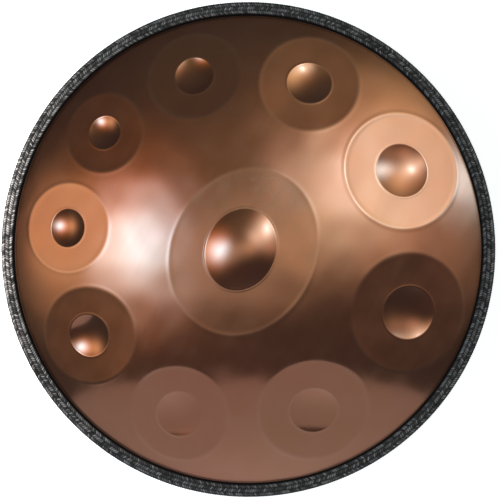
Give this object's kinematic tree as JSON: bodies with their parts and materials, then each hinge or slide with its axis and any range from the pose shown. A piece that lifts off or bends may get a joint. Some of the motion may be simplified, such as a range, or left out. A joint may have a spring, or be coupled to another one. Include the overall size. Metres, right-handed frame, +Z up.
{
  "type": "handpan",
  "caption": "Lens-shaped steel hand drum: a domed playing shell with tone fields, a plain lower shell with a sound port, and a braided rim trim.",
  "frame": {"origin": "middle of the flat ring round the sound port, on the surface the drum rests on", "axes": "+Z up through the ding, +X and +Y across the drum; the largest two tone fields lie either side of +X"},
  "size_m": [0.56, 0.56, 0.2359],
  "materials": {
    "shell_steel": "steel with a copper-brown coating, finely brushed, satin to half gloss",
    "bond": "cured epoxy, dull grey-beige",
    "channel_rubber": "matt black moulded rubber",
    "braid_cord": "flat braided black cord with a slight sheen"
  },
  "bodies": {
    "root": {"top_shell": "shell_steel", "bottom_shell": "shell_steel", "flange_adhesive": "bond", "rim_channel": "channel_rubber", "rim_braid": "braid_cord"}
  },
  "joints": []
}
